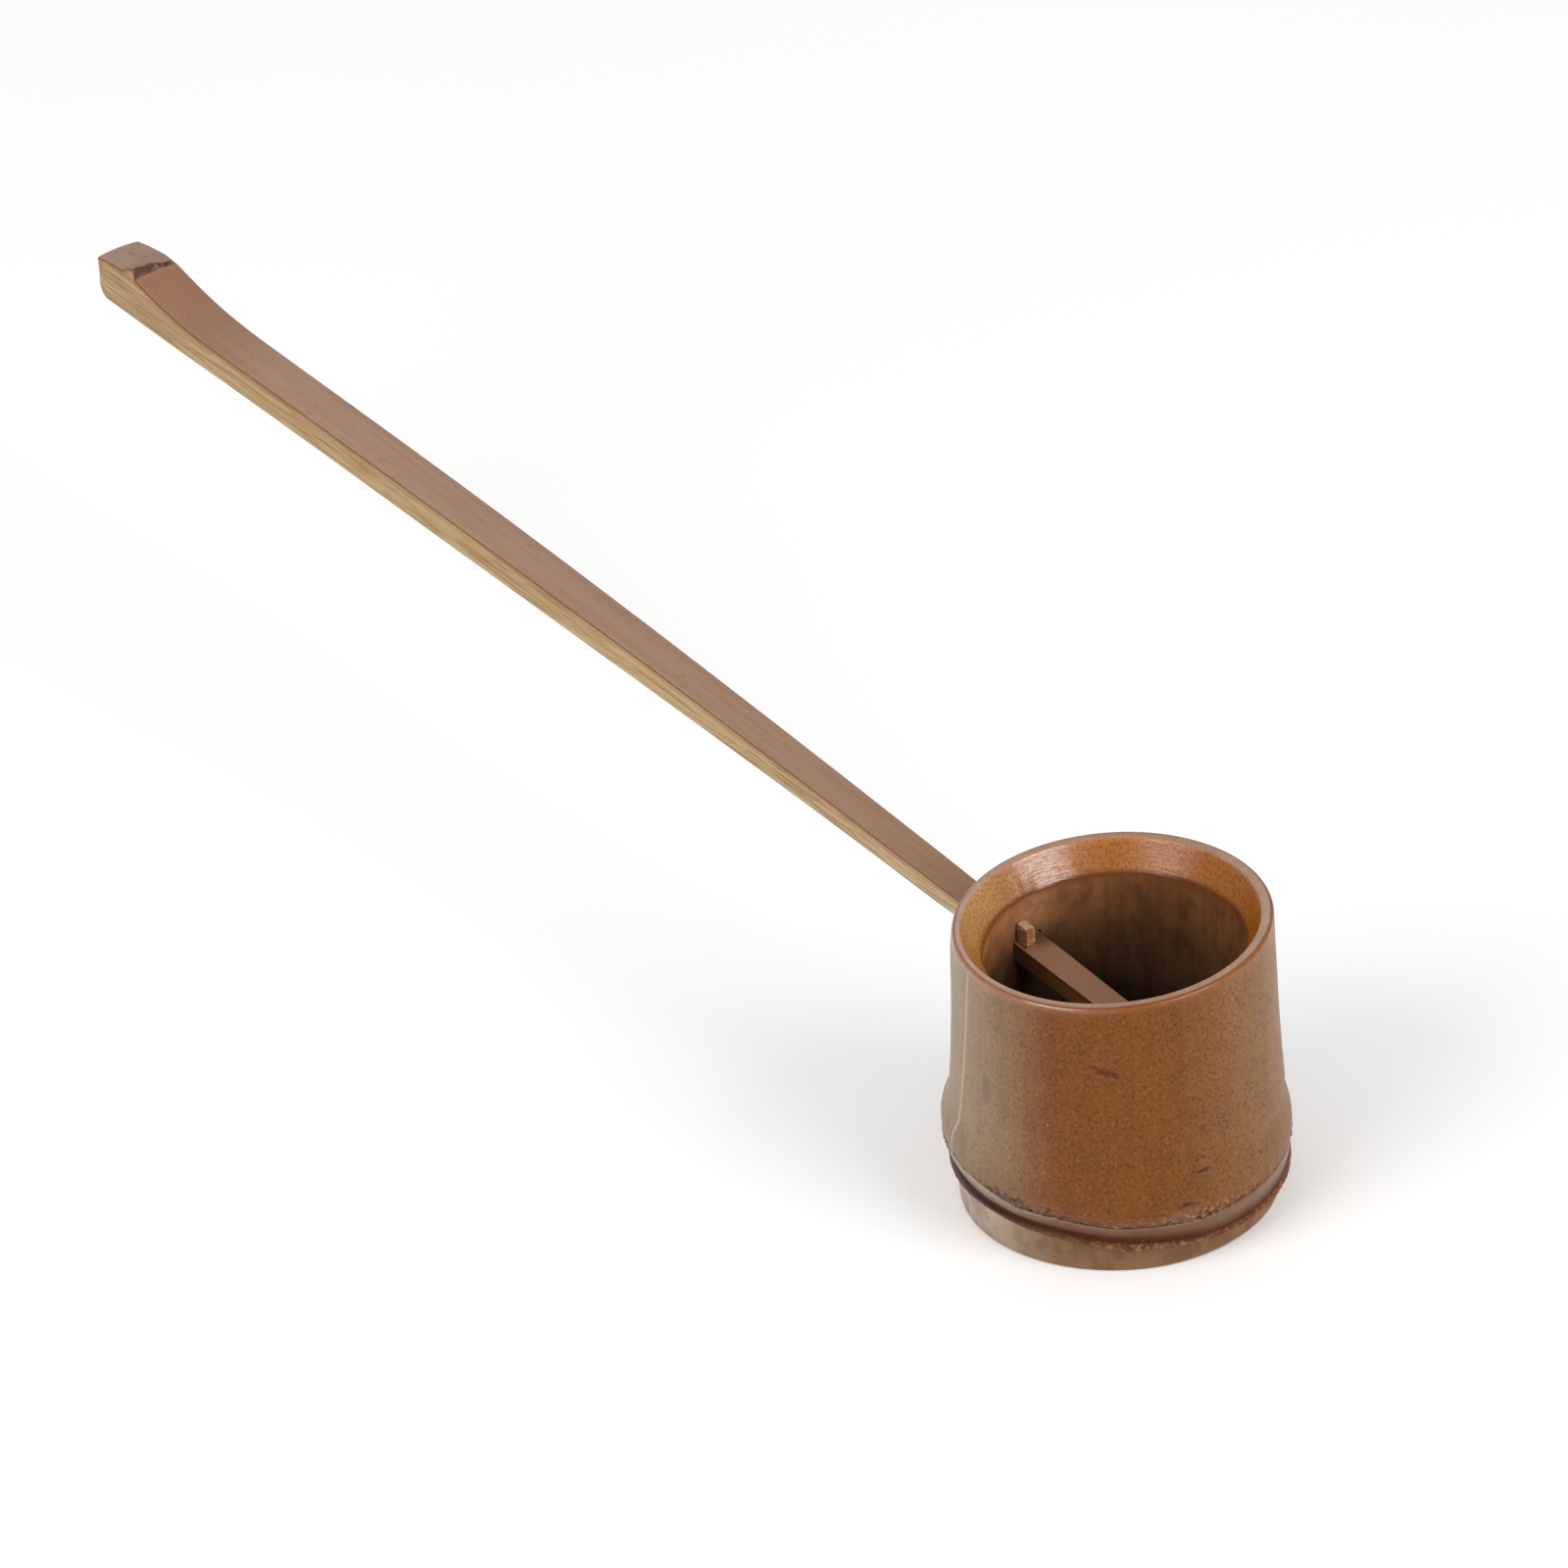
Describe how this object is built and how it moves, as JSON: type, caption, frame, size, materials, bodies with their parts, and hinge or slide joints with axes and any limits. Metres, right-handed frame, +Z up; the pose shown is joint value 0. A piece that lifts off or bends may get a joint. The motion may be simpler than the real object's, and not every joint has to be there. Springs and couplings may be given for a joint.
{
  "type": "water dipper",
  "caption": "Bamboo water dipper: a short cup cut from a culm, standing on the stub below its node, with a long slim handle let through its wall and pinned by a small square peg.",
  "frame": {"origin": "middle of the foot ring's flat underside, on the cup's axis", "axes": "+Z up along the cup's axis, -X along the handle towards its tip, +Y across"},
  "size_m": [0.24, 0.045, 0.0553],
  "materials": {
    "cup_bamboo": "smoked bamboo, satin skin",
    "handle_bamboo": "smoked bamboo, dull skin with bare split sides",
    "peg_bamboo": "split bamboo, raw"
  },
  "bodies": {
    "root": {"cup": "cup_bamboo", "handle": "handle_bamboo", "peg": "peg_bamboo"}
  },
  "joints": []
}
